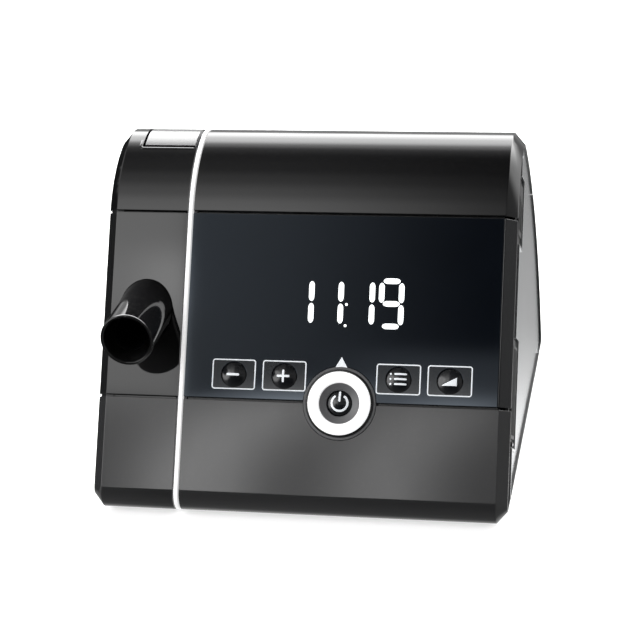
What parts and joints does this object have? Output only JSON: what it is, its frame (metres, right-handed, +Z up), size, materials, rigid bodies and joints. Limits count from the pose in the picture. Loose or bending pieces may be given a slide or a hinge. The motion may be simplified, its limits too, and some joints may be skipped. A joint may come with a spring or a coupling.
{
  "type": "cpap machine",
  "caption": "Bedside CPAP machine: rounded wedge body with a leaning glass display panel, dome keys, ringed power key, straight air outlet tube and a silver side cover.",
  "frame": {"origin": "under the middle of the body, on the plane that the feet stand on", "axes": "+X to the right as seen from the front, +Y to the back, +Z up"},
  "size_m": [0.1718, 0.1786, 0.1365],
  "materials": {
    "case_black": "semi-gloss moulded",
    "column_gloss": "mirror gloss",
    "smoked_window": "smoked, polished",
    "frame_black": "moulded",
    "silver_paint": "satin silver paint",
    "trim_white": "bright, polished",
    "key_rubber": "satin",
    "rubber_dark": "matt",
    "chassis_grey": "moulded",
    "tube_black": "semi-gloss moulded",
    "steel": "bright",
    "board_green": "solder mask",
    "chip_black": "moulded",
    "coil_yellow": "tape",
    "aluminium": "extruded",
    "filter_grey": "open foam",
    "filter_white": "felt",
    "foam_grey": "open foam",
    "blower_white": "moulded",
    "display_lit": "lit segments",
    "ribbon_cream": "flat cable",
    "contact_metal": "plated"
  },
  "bodies": {
    "casing": {"base_plate": "case_black", "chassis": "chassis_grey", "end_frames": "chassis_grey", "divider": "chassis_grey", "lower_cover": "case_black", "column_lower_cover": "case_black", "top_cover": "case_black", "column_top_cover": "case_black", "rear_cover": "case_black", "column_rear_cover": "case_black", "trim_strip": "trim_white", "display_frame": "frame_black", "display_window": "smoked_window", "outlet_panel": "column_gloss", "side_cover_left": "silver_paint", "side_grips": "rubber_dark", "rubber_feet": "rubber_dark", "screws": "steel", "power_dish": "frame_black", "power_ring": "trim_white", "keypad_mat": "rubber_dark", "display_board": "board_green", "display_module": "display_lit", "display_ribbon": "ribbon_cream", "outlet_tube": "tube_black", "outlet_seal": "rubber_dark", "air_duct": "blower_white", "flow_sensor": "chip_black", "lid_hinge_pin": "steel", "filter_tray": "frame_black", "fine_filter": "filter_white", "coarse_filter": "filter_grey", "blower_mounts": "rubber_dark", "blower_lower_housing": "blower_white", "blower_upper_housing": "blower_white", "motor_bearings": "steel", "motor_stator": "aluminium", "motor_end_cap": "aluminium", "silencer_box": "frame_black", "silencer_lid": "frame_black", "silencer_foam": "foam_grey", "circuit_boards": "board_green", "main_board_chips": "chip_black", "transformer": "coil_yellow", "heat_sink": "aluminium", "capacitors": "chip_black", "mains_inlet": "chip_black", "mains_pins": "contact_metal", "data_socket": "contact_metal", "card_reader": "steel"},
    "key_minus": {"key_minus": "key_rubber"},
    "key_plus": {"key_plus": "key_rubber"},
    "key_menu": {"key_menu": "key_rubber"},
    "key_ramp": {"key_ramp": "key_rubber"},
    "power_key": {"power_key": "key_rubber"},
    "filter_lid": {"filter_lid": "case_black"},
    "fan": {"impeller": "blower_white", "motor_shaft": "steel"},
    "card": {"memory_card": "chip_black"},
    "side_cover": {"side_cover_right": "silver_paint"}
  },
  "joints": [
    {"name": "key_minus_press", "type": "slide", "parent": "casing", "child": "key_minus", "axis": [0, 0.866, -0.5], "range_m": [0, 0.0008], "stiffness_N_per_m": 1200, "deforming": ["keypad_mat"]},
    {"name": "key_plus_press", "type": "slide", "parent": "casing", "child": "key_plus", "axis": [0, 0.866, -0.5], "range_m": [0, 0.0008], "stiffness_N_per_m": 1200, "deforming": ["keypad_mat"]},
    {"name": "key_menu_press", "type": "slide", "parent": "casing", "child": "key_menu", "axis": [0, 0.866, -0.5], "range_m": [0, 0.0008], "stiffness_N_per_m": 1200, "deforming": ["keypad_mat"]},
    {"name": "key_ramp_press", "type": "slide", "parent": "casing", "child": "key_ramp", "axis": [0, 0.866, -0.5], "range_m": [0, 0.0008], "stiffness_N_per_m": 1200, "deforming": ["keypad_mat"]},
    {"name": "power_key_press", "type": "slide", "parent": "casing", "child": "power_key", "axis": [0, 0.866, -0.5], "range_m": [0, 0.0008], "stiffness_N_per_m": 1200, "deforming": ["keypad_mat"]},
    {"name": "filter_lid_hinge", "type": "hinge", "parent": "casing", "child": "filter_lid", "pos_m": [0, 0.02314, 0.12356], "axis": [-1, 0, 0], "range_deg": [0, 75]},
    {"name": "fan_spin", "type": "hinge", "parent": "casing", "child": "fan", "pos_m": [-0.00995, 0.03718, 0.0305], "axis": [0, 0, 1], "continuous": true},
    {"name": "card_slide", "type": "slide", "parent": "casing", "child": "card", "axis": [-1, 0, 0], "range_m": [0, 0.02]},
    {"name": "side_cover_pull", "type": "slide", "parent": "casing", "child": "side_cover", "axis": [1, 0, 0], "range_m": [0, 0.012]}
  ]
}
